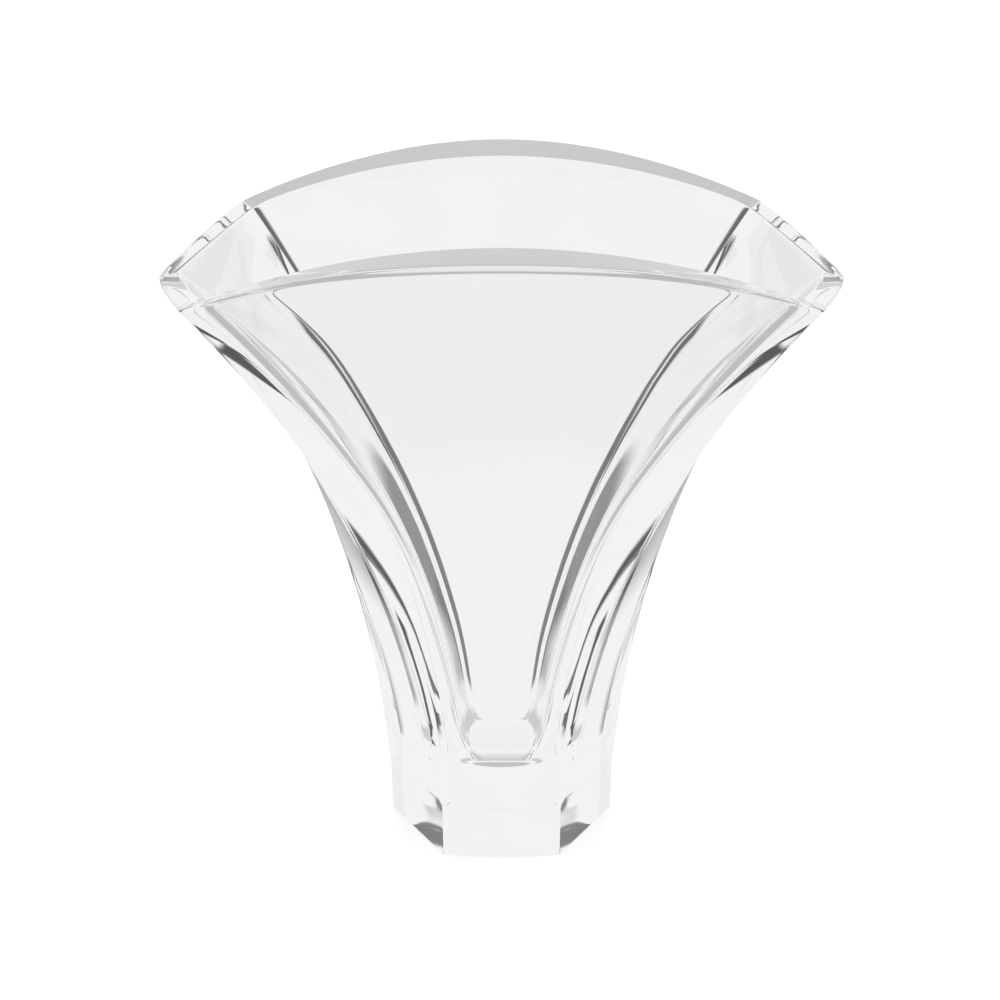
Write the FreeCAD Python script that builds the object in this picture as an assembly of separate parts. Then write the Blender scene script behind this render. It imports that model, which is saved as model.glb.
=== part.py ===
import FreeCAD, Part
import math
import os
from FreeCAD import Vector

# Fan vase in one piece of thick clear crystal, in millimetres.
# +X is the wide way of the fan, -Y is the front, +Z is up.
# The origin is the middle of the flat underside of the foot.

# Rim: an arc in the front view, highest at the middle
overall_height = 280.0
rim_arc_radius = 271.6
rim_tip_half_width = 126.7
rim_corner_half_width = 104.9
rim_corner_half_depth = 63.2
rim_middle_half_depth = 81.2

# Six vertical arrises flare from the foot to the rim along leaning arcs
tip_lean_angle = 74.0
corner_lean_angle = 42.4
middle_lean_angle = 80.0
side_hollow_at_rim = 0.5

# Foot: a six-sided block with one scoop on each facet
foot_height = 25.2
foot_tip_half_width = 48.6
foot_corner_half_width = 24.9
foot_corner_half_depth = 31.0
foot_middle_half_depth = 32.8
scoop_dip = 5.3
scoop_extra_depth = 0.25
waist_inset = 0.3
panel_hollow = 1.1

# Wall left between the outer face and the cavity at the rim corners and tips
rim_tip_wall = 8.0
rim_corner_wall_across = 6.2
rim_corner_wall_deep = 8.4

# Cavity: a near-square well in the solid stem that opens into the fan
cavity_floor_height = 43.0
cavity_bow = 6.0

# Heights of the outer and cavity sections, as shares of the rise
flare_height_shares = [0.0, 0.14, 0.3, 0.46, 0.62, 0.76, 0.88, 1.0]
cavity_height_shares = [0.0, 0.04, 0.13, 0.24, 0.36, 0.5, 0.64, 0.78, 0.9, 1.0]
# Half sizes of the cavity at its sections, as shares of those at the rim
cavity_tip_shares = [0.135, 0.167, 0.192, 0.233, 0.291, 0.378, 0.529, 0.781, 1.066, 1.33]
cavity_across_shares = [0.132, 0.17, 0.205, 0.254, 0.322, 0.422, 0.598, 0.789, 0.974, 1.145]
cavity_deep_shares = [0.254, 0.294, 0.303, 0.316, 0.354, 0.409, 0.516, 0.721, 0.964, 1.172]
# Bow of the cavity's front and back, out below and in near the rim
cavity_bow_shares = [0.02, 0.05, 0.18, 0.3, 0.3, 0.18, -0.12, -0.5, -0.75, -0.97]

# All cuts run past the glass by this much
overrun = 5.0


def rim_height(x):
    drop = rim_arc_radius - math.sqrt(rim_arc_radius ** 2 - x ** 2)
    return overall_height - drop


def flare(share, lean):
    # Opening of a leaning arc from 0 at its foot to 1 at the rim.
    # Past the rim it runs on straight.
    top = math.radians(lean)
    reach = 1 - math.cos(top)
    if share > 1:
        slope = math.sin(top) ** 2 / (math.cos(top) * reach)
        return 1 + slope * (share - 1)
    turn = math.asin(share * math.sin(top))
    return (1 - math.cos(turn)) / reach


def between(low, high, share):
    return low + (high - low) * share


def hexagon(z, tip, across, deep, middle, hollow):
    # Closed outline: front and back arcs, four slightly hollow sides.
    tips = [Vector(-tip, 0, z), Vector(tip, 0, z)]
    front = [Vector(-across, -deep, z), Vector(across, -deep, z)]
    back = [Vector(across, deep, z), Vector(-across, deep, z)]
    edges = [
        Part.Arc(front[0], Vector(0, -middle, z), front[1]).toShape(),
        side_edge(front[1], tips[1], hollow),
        side_edge(tips[1], back[0], hollow),
        Part.Arc(back[0], Vector(0, middle, z), back[1]).toShape(),
        side_edge(back[1], tips[0], hollow),
        side_edge(tips[0], front[0], hollow),
    ]
    return Part.Wire(edges)


def side_edge(start, end, hollow):
    if hollow == 0:
        return Part.LineSegment(start, end).toShape()
    middle = (start + end) / 2
    inward = Vector(-middle.x, -middle.y, 0)
    chord = end - start
    normal = Vector(-chord.y, chord.x, 0)
    normal.normalize()
    if normal.dot(inward) < 0:
        normal = -normal
    return Part.Arc(start, middle + normal * hollow, end).toShape()


def outer_section(z):
    tip_rise = rim_height(rim_tip_half_width)
    corner_rise = rim_height(rim_corner_half_width)
    tip_open = flare(z / tip_rise, tip_lean_angle)
    corner_open = flare(z / corner_rise, corner_lean_angle)
    middle_open = flare(z / overall_height, middle_lean_angle)
    waist_deep = foot_corner_half_depth - waist_inset
    return hexagon(
        z,
        between(foot_tip_half_width - waist_inset, rim_tip_half_width, tip_open),
        between(foot_corner_half_width - waist_inset, rim_corner_half_width, corner_open),
        between(waist_deep, rim_corner_half_depth, corner_open),
        between(waist_deep - panel_hollow, rim_middle_half_depth, middle_open),
        between(panel_hollow, side_hollow_at_rim, corner_open),
    )


def make_flare():
    start = foot_height - scoop_dip - scoop_dip
    rise = overall_height + overrun - start
    sections = [outer_section(start + rise * share) for share in flare_height_shares]
    return Part.makeLoft(sections, True, False)


def scoop(middle, normal, half_chord, bulge):
    # A long round cutter, leaning in as it rises, that leaves a
    # dipping arc on one facet of the foot.
    depth = panel_hollow + bulge + scoop_extra_depth
    radius = half_chord ** 2 / (2 * panel_hollow)
    lean = math.atan(depth / scoop_dip)
    along = Vector(0, 0, 1) * math.cos(lean) - normal * math.sin(lean)
    away = normal * math.cos(lean) + Vector(0, 0, 1) * math.sin(lean)
    low = middle + Vector(0, 0, foot_height - scoop_dip)
    length = foot_height + foot_height
    start = low + away * radius - along * length / 2
    return Part.makeCylinder(radius, length, start, along)


def make_foot():
    outline = hexagon(
        0,
        foot_tip_half_width,
        foot_corner_half_width,
        foot_corner_half_depth,
        foot_middle_half_depth,
        0,
    )
    foot = Part.Face(outline).extrude(Vector(0, 0, foot_height))
    bulge = foot_middle_half_depth - foot_corner_half_depth
    cutters = []
    for way in (-1, 1):
        normal = Vector(0, way, 0)
        middle = Vector(0, way * foot_middle_half_depth, 0)
        cutters.append(scoop(middle, normal, foot_corner_half_width, bulge))
    for x_way in (-1, 1):
        for y_way in (-1, 1):
            corner = Vector(x_way * foot_corner_half_width, y_way * foot_corner_half_depth, 0)
            tip = Vector(x_way * foot_tip_half_width, 0, 0)
            chord = tip - corner
            normal = Vector(abs(chord.y) * x_way, abs(chord.x) * y_way, 0)
            normal.normalize()
            cutters.append(scoop((corner + tip) / 2, normal, chord.Length / 2, 0))
    return foot.cut(cutters)


def make_cavity():
    rise = overall_height + overrun - cavity_floor_height
    tip_top = rim_tip_half_width - rim_tip_wall
    across_top = rim_corner_half_width - rim_corner_wall_across
    deep_top = rim_corner_half_depth - rim_corner_wall_deep
    sections = []
    for i, share in enumerate(cavity_height_shares):
        deep = deep_top * cavity_deep_shares[i]
        sections.append(hexagon(
            cavity_floor_height + rise * share,
            tip_top * cavity_tip_shares[i],
            across_top * cavity_across_shares[i],
            deep,
            deep + cavity_bow * cavity_bow_shares[i],
            0,
        ))
    return Part.makeLoft(sections, True, False)


def make_rim_cutter():
    # Everything inside this round bar, whose axis runs along Y, stays.
    length = 2 * (rim_middle_half_depth + overrun)
    start = Vector(0, -length / 2, overall_height - rim_arc_radius)
    return Part.makeCylinder(rim_arc_radius, length, start, Vector(0, 1, 0))


def make_body():
    flared = make_flare().common(make_rim_cutter())
    solid = flared.fuse(make_foot())
    hollowed = solid.cut(make_cavity())
    return hollowed.removeSplitter()


os.makedirs("parts", exist_ok=True)

body = make_body()
body.exportStep("parts/crystal_body.step")
box = body.BoundBox
print("crystal_body", body.isValid(), len(body.Solids), round(body.Volume), len(body.Faces))
print("size", round(box.XLength, 2), round(box.YLength, 2), round(box.ZLength, 2), round(box.ZMin, 3))
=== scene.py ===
import bpy
import bmesh
import math
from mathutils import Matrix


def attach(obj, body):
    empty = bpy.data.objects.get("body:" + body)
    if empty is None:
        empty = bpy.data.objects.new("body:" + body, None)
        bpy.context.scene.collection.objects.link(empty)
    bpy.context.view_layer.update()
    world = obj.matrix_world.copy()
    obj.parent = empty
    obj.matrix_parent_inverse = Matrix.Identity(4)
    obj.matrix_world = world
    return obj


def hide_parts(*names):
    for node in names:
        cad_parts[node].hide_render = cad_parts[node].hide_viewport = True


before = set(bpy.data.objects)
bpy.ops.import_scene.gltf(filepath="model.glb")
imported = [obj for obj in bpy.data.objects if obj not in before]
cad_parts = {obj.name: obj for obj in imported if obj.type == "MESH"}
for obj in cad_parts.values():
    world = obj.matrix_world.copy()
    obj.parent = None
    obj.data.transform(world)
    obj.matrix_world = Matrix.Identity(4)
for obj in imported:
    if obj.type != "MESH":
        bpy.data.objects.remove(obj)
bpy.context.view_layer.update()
print("stage: frame loaded")

# Crystal body, sizes in metres, angles in degrees
vase = {
    "height": 0.280,             # rim at the middle
    "rimArc": 0.2716,            # radius of the rim in the front view
    "rimTip": 0.1267,            # half width at the tips of the rim
    "rimAcross": 0.1049,         # half width at the rim corners
    "rimDeep": 0.0632,           # half depth at the rim corners
    "rimMiddle": 0.0812,         # half depth at the middle of the rim
    "tipLean": 74.0,             # lean of the tip arrises at the rim
    "cornerLean": 42.4,          # lean of the corner arrises at the rim
    "middleLean": 80.0,          # lean of the middles of the front and back panels
    "footHeight": 0.0252,
    "footTip": 0.0486,
    "footAcross": 0.0249,
    "footDeep": 0.0310,
    "footMiddle": 0.0328,
    "waistInset": 0.0003,
    "panelHollow": 0.0011,
    "rimHollow": 0.0003,
    "scoopDip": 0.0053,
    "rimSlopeMiddle": 0.0015,    # fall of the rim's top from outside to inside
    "rimSlopeEnd": 0.0029,
    "cavityFloor": 0.0431,
    "tipSoft": 0.75,             # crease at the inner tips
    "rimRound": 0.0026,          # rounding of the rim's outer edge
    "rimRoundInside": 0.0015,
    "tipRound": 0.0005,          # the outer rounding shrinks to this at the tips
    "smoothLevel": 3,
    "edgeRound": 0.0006,
    "edgeRoundSteps": 2,
    "edgeRoundAngle": 14,        # edges bent by more than this are rounded
    "smoothAngle": 20,           # edges bent by less than this are shaded smooth
    "rimSearchSteps": 40,
    "rimSearchPast": 0.020,      # the search for the rim reaches this far above it
}
# Places of the columns along half the front panel, then along one side as far as the tip
frontPlaces = [0.0, 0.22, 0.43, 0.61, 0.76, 0.88, 0.95, 1.0]
sidePlaces = [0.10, 0.22, 0.6, 1.0]
corner = len(frontPlaces) - 1
last = corner + len(sidePlaces)
cornerSpread = 2    # a soft cavity corner takes in this many columns on each side
panelShares = [0.0, 0.02, 0.05, 0.10, 0.17, 0.26, 0.35, 0.44, 0.53, 0.62, 0.71, 0.80, 0.88, 0.94, 1.0]
# Cavity sizes in millimetres at a few heights: half sizes, mostly from a fit to the lines seen through
# the glass, then the bow of its front and back and the radius of its soft corners
cavityAt = [43.1, 53.0, 73.1, 98.7, 127.9, 160.8, 193.7, 226.6, 255.9, 270.5, 279.0]
cavityTip = [16.0, 19.8, 22.7, 27.4, 34.4, 44.6, 62.1, 91.5, 126.0, 145.0, 157.0]
cavityAcross = [13.0, 16.8, 20.1, 24.9, 31.6, 41.3, 58.5, 77.1, 95.8, 106.0, 112.0]
cavityDeep = [13.9, 16.1, 16.5, 17.2, 19.4, 22.3, 28.1, 39.1, 52.6, 59.6, 63.6]
cavityBow = [0.0, 0.0, 1.1, 1.8, 1.8, 1.1, -0.7, -2.9, -4.4, -5.5, -5.8]
cavityRound = [3.2, 3.5, 3.8, 4.3, 5.0, 5.8, 6.7, 7.6, 8.5, 9.0, 9.3]
cavityShares = [0.0, 0.03, 0.08, 0.16, 0.25, 0.35, 0.46, 0.58, 0.70, 0.81, 0.91, 1.0]


def rimHeight(x, p=vase):
    x = min(abs(x), p["rimArc"])
    return p["height"] - p["rimArc"] + math.sqrt(p["rimArc"] ** 2 - x ** 2)


def flare(share, lean):
    # opening of a leaning arc, from 0 at its foot to 1 at the rim, and straight on past it
    top = math.radians(lean)
    reach = 1 - math.cos(top)
    if share > 1:
        return 1 + math.sin(top) ** 2 / (math.cos(top) * reach) * (share - 1)
    turn = math.asin(max(0.0, share) * math.sin(top))
    return (1 - math.cos(turn)) / reach


def mix(low, high, share):
    return low + (high - low) * share


def quarterPoint(j, tip, across, deep, middle, hollow, soft=0.0):
    # place of column j on a quarter of the outline, from the panel's middle round the corner to the tip
    bow = middle - deep
    length = math.hypot(tip - across, deep)
    fall = 2 * bow / across
    panelWay = (-1 / math.hypot(1, fall), fall / math.hypot(1, fall))
    sideWay = ((tip - across) / length, -deep / length)
    if soft and abs(j - corner) <= cornerSpread:
        t = (j - corner + cornerSpread) / (2 * cornerSpread)
        start = [c + soft * w for c, w in zip((across, deep), panelWay)]
        end = [c + soft * w for c, w in zip((across, deep), sideWay)]
        return tuple(
            (1 - t) ** 2 * s + 2 * t * (1 - t) * c + t * t * e
            for s, c, e in zip(start, (across, deep), end))
    if j <= corner:
        u = frontPlaces[j]
        if soft:
            u *= (1 - soft / across) / frontPlaces[corner - cornerSpread]
        return across * u, deep + bow * (1 - u * u)
    u = sidePlaces[j - corner - 1]
    dip = hollow * 4 * u * (1 - u)
    return mix(across, tip, u) - dip * deep / length, deep * (1 - u) - dip * (tip - across) / length


def outerPoint(j, z, p=vase):
    tipOpen = flare(z / rimHeight(p["rimTip"], p), p["tipLean"])
    cornerOpen = flare(z / rimHeight(p["rimAcross"], p), p["cornerLean"])
    middleOpen = flare(z / p["height"], p["middleLean"])
    deep = p["footDeep"] - p["waistInset"]
    return quarterPoint(
        j,
        mix(p["footTip"] - p["waistInset"], p["rimTip"], tipOpen),
        mix(p["footAcross"] - p["waistInset"], p["rimAcross"], cornerOpen),
        mix(deep, p["rimDeep"], cornerOpen),
        mix(deep - p["panelHollow"], p["rimMiddle"], middleOpen),
        mix(p["panelHollow"], p["rimHollow"], cornerOpen))


def curve(places, table, place):
    # smooth reading of a table, with a cubic from each entry to the next
    count = len(places)
    place = min(max(place, places[0]), places[-1])
    k = max(i for i in range(count - 1) if place >= places[i] or i == 0)
    steps = [places[i + 1] - places[i] for i in range(count - 1)]
    slopes = [(table[i + 1] - table[i]) / steps[i] for i in range(count - 1)]
    def slopeAt(i):
        if i == 0:
            return slopes[0]
        if i == count - 1:
            return slopes[-1]
        return (slopes[i - 1] * steps[i] + slopes[i] * steps[i - 1]) / (steps[i] + steps[i - 1])
    t = (place - places[k]) / steps[k]
    leave = slopeAt(k) * steps[k]
    arrive = slopeAt(k + 1) * steps[k]
    return (
        (2 * t ** 3 - 3 * t * t + 1) * table[k]
        + (t ** 3 - 2 * t * t + t) * leave
        + (-2 * t ** 3 + 3 * t * t) * table[k + 1]
        + (t ** 3 - t * t) * arrive)


def cavityPoint(j, z, p=vase):
    def at(table):
        return curve(cavityAt, table, z * 1000) / 1000
    deep = at(cavityDeep)
    return quarterPoint(j, at(cavityTip), at(cavityAcross), deep, deep + at(cavityBow), 0, at(cavityRound))


def topOf(pointAt, j, drop, p=vase):
    # height at which column j meets the rim
    low, high = p["footHeight"], p["height"] + p["rimSearchPast"]
    for _ in range(p["rimSearchSteps"]):
        z = (low + high) / 2
        x, y = pointAt(j, z, p)
        if z < rimHeight(x, p) - drop(x):
            low = z
        else:
            high = z
    return low


def vaseRows(p=vase):
    # every row of the cage, from the foot's lower edge up, over the rim and down the cavity
    classes = range(last + 1)
    footSizes = (p["footTip"], p["footAcross"], p["footDeep"], p["footMiddle"], 0)
    foot = [quarterPoint(j, *footSizes) for j in classes]
    rows = [("base", [(x, y, 0.0) for x, y in foot])]
    scoopTop = []
    for j in classes:
        if j <= corner:
            dip = 1 - frontPlaces[j] ** 2
        else:
            u = sidePlaces[j - corner - 1]
            dip = 4 * u * (1 - u)
        scoopTop.append(p["footHeight"] - p["scoopDip"] * dip)
    rows.append(("scoop", [(x, y, z) for (x, y), z in zip(foot, scoopTop)]))
    tops = [topOf(outerPoint, j, lambda x: 0.0, p) for j in classes]
    def outerRow(heights):
        return [(*outerPoint(j, heights[j], p), heights[j]) for j in classes]
    for share in panelShares[1:-1]:
        rows.append(("panel", outerRow([mix(scoopTop[j], tops[j], share) for j in classes])))
    def roundAt(j):
        return mix(p["rimRound"], p["tipRound"], max(0, j - corner) / (last - corner))
    rounds = [roundAt(j) for j in classes]
    rows.append(("panel", outerRow([tops[j] - rounds[j] for j in classes])))
    outerRim = outerRow(tops)
    rows.append(("rimOuter", outerRim))
    def slope(x):
        return mix(p["rimSlopeMiddle"], p["rimSlopeEnd"], min(1.0, abs(x) / p["rimTip"]))
    tops = [topOf(cavityPoint, j, slope, p) for j in classes]
    def cavityRow(heights):
        return [(*cavityPoint(j, heights[j], p), heights[j]) for j in classes]
    innerRim = cavityRow(tops)
    for inside in (False, True):
        row = []
        for start, end, inset in zip(outerRim, innerRim, rounds):
            share = inset / math.dist(start, end)
            if inside:
                share = 1 - p["rimRoundInside"] / math.dist(start, end)
            row.append(tuple(mix(a, b, share) for a, b in zip(start, end)))
        rows.append(("rimTop", row))
    rows.append(("rimInner", innerRim))
    rows.append(("cavity", cavityRow([tops[j] - p["rimRoundInside"] for j in classes])))
    for share in reversed(cavityShares[:-1]):
        heights = [mix(p["cavityFloor"], tops[j], share) for j in classes]
        rows.append(("floor" if share == 0.0 else "cavity", cavityRow(heights)))
    return rows


def foldColumn(i):
    # columns run round from the front middle; mirrored ones share a number
    k = i % (2 * last)
    return k if k <= last else 2 * last - k


def selectOnly(bm, verts):
    for v in bm.verts:
        v.select = False
    for e in bm.edges:
        e.select = False
    for f in bm.faces:
        f.select = False
    for v in verts:
        v.select = True
    bm.select_flush(True)


pivotDrop = 1.0    # rings are scaled about a point on the axis, this far below the foot
tiny = 1e-7


def shapeRing(body, ring, targets):
    # scale each column and its mirrored ones together to their place
    for j in range(last + 1):
        bm = bmesh.from_edit_mesh(body.data)
        bm.verts.ensure_lookup_table()
        picked = [bm.verts[ring[i]] for i in range(len(ring)) if foldColumn(i) == j]
        selectOnly(bm, picked)
        now = picked[0].co
        x, y, z = targets[j]
        grow = (
            x / abs(now.x) if abs(now.x) > tiny and j != 0 else 1.0,
            y / abs(now.y) if abs(now.y) > tiny and j != last else 1.0,
            (z + pivotDrop) / (now.z + pivotDrop))
        bpy.ops.transform.resize(value=grow, center_override=(0, 0, -pivotDrop))


def extrudeRing(body, ring):
    # a new ring on top of the old one, its columns in the same order
    bm = bmesh.from_edit_mesh(body.data)
    bm.verts.ensure_lookup_table()
    selectOnly(bm, [bm.verts[i] for i in ring])
    spots = [bm.verts[i].co.copy() for i in ring]
    bpy.ops.mesh.extrude_edges_move()
    bm = bmesh.from_edit_mesh(body.data)
    bm.verts.index_update()
    bm.verts.ensure_lookup_table()
    fresh = [v for v in bm.verts if v.select]
    order = []
    for spot in spots:
        order.append(min(fresh, key=lambda v: (v.co - spot).length).index)
    return order


def creaseBetween(body, pairs, amount=1.0):
    bm = bmesh.from_edit_mesh(body.data)
    bm.verts.ensure_lookup_table()
    wanted = {frozenset(pair) for pair in pairs}
    selectOnly(bm, [])
    for e in bm.edges:
        if frozenset((e.verts[0].index, e.verts[1].index)) in wanted:
            e.select = True
    bpy.ops.transform.edge_crease(value=amount)


def makeVase(p=vase, name="crystalBody"):
    rows = vaseRows(p)
    count = 4 * last
    bpy.ops.object.select_all(action="DESELECT")
    bpy.ops.mesh.primitive_circle_add(vertices=count, radius=p["footTip"], fill_type="NOTHING")
    body = bpy.context.object
    body.name = name
    bpy.ops.object.mode_set(mode="EDIT")
    bpy.ops.mesh.select_mode(type="VERT")
    bm = bmesh.from_edit_mesh(body.data)
    bm.verts.ensure_lookup_table()
    def turn(v):
        return round(math.atan2(v.co.x, -v.co.y) % (2 * math.pi), 5)
    ring = [v.index for v in sorted(bm.verts, key=turn)]
    # the start ring is round, so every column can be scaled straight to its place
    rings = []
    for kind, targets in rows:
        if rings:
            ring = extrudeRing(body, ring)
        shapeRing(body, ring, targets)
        rings.append((kind, ring))
    # flat caps: underside and cavity floor
    for capRing in (rings[0][1], rings[-1][1]):
        bm = bmesh.from_edit_mesh(body.data)
        bm.verts.ensure_lookup_table()
        selectOnly(bm, [bm.verts[i] for i in capRing])
        bpy.ops.mesh.edge_face_add()
    pairs = []
    for kind, ring in rings:
        if kind in ("base", "scoop", "floor"):
            pairs += [(ring[i], ring[(i + 1) % count]) for i in range(count)]
    arrises = [i for i in range(count) if foldColumn(i) in (corner, last)]
    tips = [i for i in range(count) if foldColumn(i) == last]
    inside = False
    softPairs = []
    for (kind, ringA), (_, ringB) in zip(rings, rings[1:]):
        if kind == "rimOuter":
            inside = True
        elif inside:
            softPairs += [(ringA[i], ringB[i]) for i in tips]
        else:
            pairs += [(ringA[i], ringB[i]) for i in arrises]
    creaseBetween(body, pairs)
    creaseBetween(body, softPairs, p["tipSoft"])
    bpy.ops.mesh.select_all(action="SELECT")
    bpy.ops.mesh.normals_make_consistent(inside=False)
    bpy.ops.object.mode_set(mode="OBJECT")
    smooth = body.modifiers.new("smooth", "SUBSURF")
    smooth.levels = smooth.render_levels = p["smoothLevel"]
    smooth.boundary_smooth = "PRESERVE_CORNERS"
    bpy.ops.object.modifier_apply(modifier="smooth")
    rounding = body.modifiers.new("rounding", "BEVEL")
    rounding.width = p["edgeRound"]
    rounding.segments = p["edgeRoundSteps"]
    rounding.limit_method = "ANGLE"
    rounding.angle_limit = math.radians(p["edgeRoundAngle"])
    rounding.harden_normals = False
    bpy.ops.object.modifier_apply(modifier="rounding")
    bpy.ops.object.shade_smooth_by_angle(angle=math.radians(p["smoothAngle"]))
    return body


body = makeVase()
body.data.materials.clear()
print("stage: body made,", len(body.data.polygons), "faces")

# Clear crystal with the faint waves that hand polishing leaves
crystal = {
    "ior": 1.545,
    "roughness": 0.0,
    "waveScale": 45.0,      # noise cells per metre
    "waveDetail": 1.0,
    "waveHeight": 0.00004,  # metres
    "waveStrength": 1.0,
    "clear": (1.0, 1.0, 1.0, 1.0),
    "tinted": (0.991, 0.986, 0.995, 1.0),
    "tintFrom": 0.3,        # the tint fades out between these values of the waves' noise
    "tintTo": 0.7,
    "mirrorTurns": 3.5,     # a path with more mirror turns, or more turns of all kinds, goes straight on
    "allTurns": 9.5,
}


def makeCrystal():
    material = bpy.data.materials.new("clearCrystal")
    material.use_nodes = True
    tree = material.node_tree
    shader = tree.nodes["Principled BSDF"]
    place = tree.nodes.new("ShaderNodeTexCoord")
    waves = tree.nodes.new("ShaderNodeTexNoise")
    waves.inputs["Scale"].default_value = crystal["waveScale"]
    waves.inputs["Detail"].default_value = crystal["waveDetail"]
    tree.links.new(place.outputs["Object"], waves.inputs["Vector"])
    bump = tree.nodes.new("ShaderNodeBump")
    bump.inputs["Strength"].default_value = crystal["waveStrength"]
    bump.inputs["Distance"].default_value = crystal["waveHeight"]
    tree.links.new(waves.outputs["Fac"], bump.inputs["Height"])
    tree.links.new(bump.outputs["Normal"], shader.inputs["Normal"])
    tint = tree.nodes.new("ShaderNodeValToRGB")
    tint.color_ramp.elements[0].position = crystal["tintFrom"]
    tint.color_ramp.elements[0].color = crystal["tinted"]
    tint.color_ramp.elements[1].position = crystal["tintTo"]
    tint.color_ramp.elements[1].color = crystal["clear"]
    tree.links.new(waves.outputs["Fac"], tint.inputs["Fac"])
    tree.links.new(tint.outputs["Color"], shader.inputs["Base Color"])
    shader.inputs["Metallic"].default_value = 0.0
    shader.inputs["Roughness"].default_value = crystal["roughness"]
    shader.inputs["IOR"].default_value = crystal["ior"]
    shader.inputs["Transmission Weight"].default_value = 1.0
    # a ray caught between the walls for too long leaves straight on, so it doesn't turn black
    path = tree.nodes.new("ShaderNodeLightPath")
    late = []
    for output, most in (("Glossy Depth", crystal["mirrorTurns"]), ("Ray Depth", crystal["allTurns"])):
        over = tree.nodes.new("ShaderNodeMath")
        over.operation = "GREATER_THAN"
        over.inputs[1].default_value = most
        tree.links.new(path.outputs[output], over.inputs[0])
        late.append(over)
    either = tree.nodes.new("ShaderNodeMath")
    either.operation = "MAXIMUM"
    tree.links.new(late[0].outputs[0], either.inputs[0])
    tree.links.new(late[1].outputs[0], either.inputs[1])
    clear = tree.nodes.new("ShaderNodeBsdfTransparent")
    pick = tree.nodes.new("ShaderNodeMixShader")
    tree.links.new(either.outputs[0], pick.inputs["Fac"])
    tree.links.new(shader.outputs[0], pick.inputs[1])
    tree.links.new(clear.outputs[0], pick.inputs[2])
    tree.links.new(pick.outputs[0], tree.nodes["Material Output"].inputs["Surface"])
    return material


body.data.materials.append(makeCrystal())
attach(body, "root")
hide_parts("crystal_body")
print("stage: crystal finished")

# Pale floor, seen by the camera only: the glass looks past it at the studio
floor = {"size": 40.0, "drop": 0.0002, "gray": 0.84, "glow": 0.44, "roughness": 0.35}


def makeFloor():
    bpy.ops.object.select_all(action="DESELECT")
    bpy.ops.mesh.primitive_plane_add(size=floor["size"], location=(0, 0, -floor["drop"]))
    plane = bpy.context.object
    plane.name = "floorSheet"
    material = bpy.data.materials.new("paleFloor")
    material.use_nodes = True
    tree = material.node_tree
    shader = tree.nodes["Principled BSDF"]
    gray = floor["gray"]
    shader.inputs["Base Color"].default_value = (gray, gray, gray, 1)
    shader.inputs["Roughness"].default_value = floor["roughness"]
    shader.inputs["Emission Color"].default_value = (1, 1, 1, 1)
    shader.inputs["Emission Strength"].default_value = floor["glow"]
    path = tree.nodes.new("ShaderNodeLightPath")
    gone = tree.nodes.new("ShaderNodeBsdfTransparent")
    pick = tree.nodes.new("ShaderNodeMixShader")
    tree.links.new(path.outputs["Is Camera Ray"], pick.inputs["Fac"])
    tree.links.new(gone.outputs[0], pick.inputs[1])
    tree.links.new(shader.outputs[0], pick.inputs[2])
    tree.links.new(pick.outputs[0], tree.nodes["Material Output"].inputs["Surface"])
    plane.data.materials.append(material)


makeFloor()

# Camera: 28 degrees down, about half a metre in front
camera = {
    "lens": 50.616,
    "sensor": 36.0,
    "back": 0.49275,
    "high": 0.41781,
    "down": 28.0,
    "shift": -0.0015,
    "near": 0.01,
}


def makeCamera():
    data = bpy.data.cameras.new("camera")
    data.sensor_width = camera["sensor"]
    data.lens = camera["lens"]
    data.shift_x = camera["shift"]
    data.clip_start = camera["near"]
    spot = bpy.data.objects.new("camera", data)
    bpy.context.scene.collection.objects.link(spot)
    spot.location = (0, -camera["back"], camera["high"])
    spot.rotation_euler = (math.radians(90 - camera["down"]), 0, 0)
    bpy.context.scene.camera = spot


makeCamera()

# A white tent with a grey table below and four pairs of soft dark cards, mirrored left and right.
# A card has a middle and a half size round and up, in degrees from straight ahead and level.
studio = {
    "tent": 0.9,       # lights of the tent, the table and a card
    "table": 0.5,
    "card": 0.08,
    "tableTop": -50,   # the table fills everything below this
    "soft": 4,         # width of a soft edge
    "cards": {
        "low": (30, 8, -30, 6),
        "high": (45, 10, 30, 8),
        "side": (60, 3, 0, 20),
        "rear": (110, 3, 0, 20),
    },
}


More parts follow.
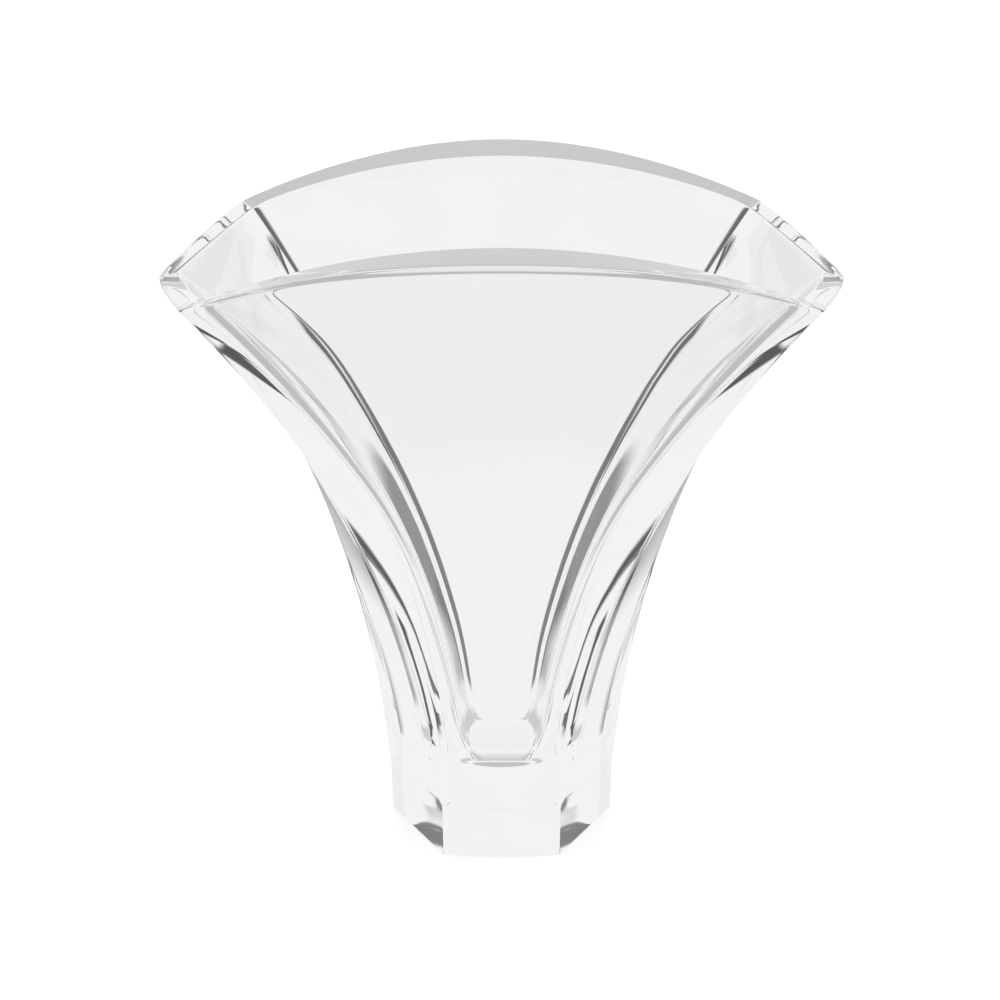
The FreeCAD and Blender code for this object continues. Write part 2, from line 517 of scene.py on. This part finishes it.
def makeWorld():
    world = bpy.data.worlds.new("studio")
    bpy.context.scene.world = world
    world.use_nodes = True
    tree = world.node_tree
    tree.nodes.clear()

    def node(kind, **values):
        fresh = tree.nodes.new(kind)
        for key, value in values.items():
            setattr(fresh, key, value)
        return fresh

    def compute(operation, first, second=None):
        fresh = node("ShaderNodeMath", operation=operation)
        tree.links.new(first, fresh.inputs[0])
        if isinstance(second, float):
            fresh.inputs[1].default_value = second
        elif second:
            tree.links.new(second, fresh.inputs[1])
        return fresh.outputs[0]

    def ease(value, start, end):
        fresh = node("ShaderNodeMapRange", interpolation_type="SMOOTHSTEP")
        fresh.inputs["From Min"].default_value = math.radians(start)
        fresh.inputs["From Max"].default_value = math.radians(end)
        tree.links.new(value, fresh.inputs["Value"])
        return fresh.outputs["Result"]

    def blend(factor, first, light):
        fresh = node("ShaderNodeMix", data_type="RGBA")
        tree.links.new(factor, fresh.inputs["Factor"])
        tree.links.new(first, fresh.inputs["A"])
        fresh.inputs["B"].default_value = (light, light, light, 1)
        return fresh.outputs["Result"]

    split = node("ShaderNodeSeparateXYZ")
    tree.links.new(node("ShaderNodeTexCoord").outputs["Generated"], split.inputs[0])
    turn = compute("ARCTAN2", compute("ABSOLUTE", split.outputs["X"]), split.outputs["Y"])
    rise = compute("ARCSINE", split.outputs["Z"])

    table = node("ShaderNodeRGB")
    table.outputs[0].default_value = (studio["table"],) * 3 + (1,)
    soft = studio["soft"]
    above = ease(rise, studio["tableTop"] - soft, studio["tableTop"] + soft)
    light = blend(above, table.outputs[0], studio["tent"])
    for middle, half, level, tall in studio["cards"].values():
        inside = []
        for place, centre, reach in ((turn, middle, half), (rise, level, tall)):
            away = compute("ABSOLUTE", compute("SUBTRACT", place, math.radians(centre)))
            outside = ease(away, reach, reach + soft)
            inside.append(compute("ADD", compute("MULTIPLY", outside, -1.0), 1.0))
        light = blend(compute("MULTIPLY", inside[0], inside[1]), light, studio["card"])
    white = blend(node("ShaderNodeLightPath").outputs["Is Camera Ray"], light, 1.0)
    back = node("ShaderNodeBackground")
    tree.links.new(white, back.inputs["Color"])
    tree.links.new(back.outputs[0], node("ShaderNodeOutputWorld").inputs[0])


makeWorld()
bpy.context.scene.view_settings.view_transform = "Standard"
print("stage: studio ready")
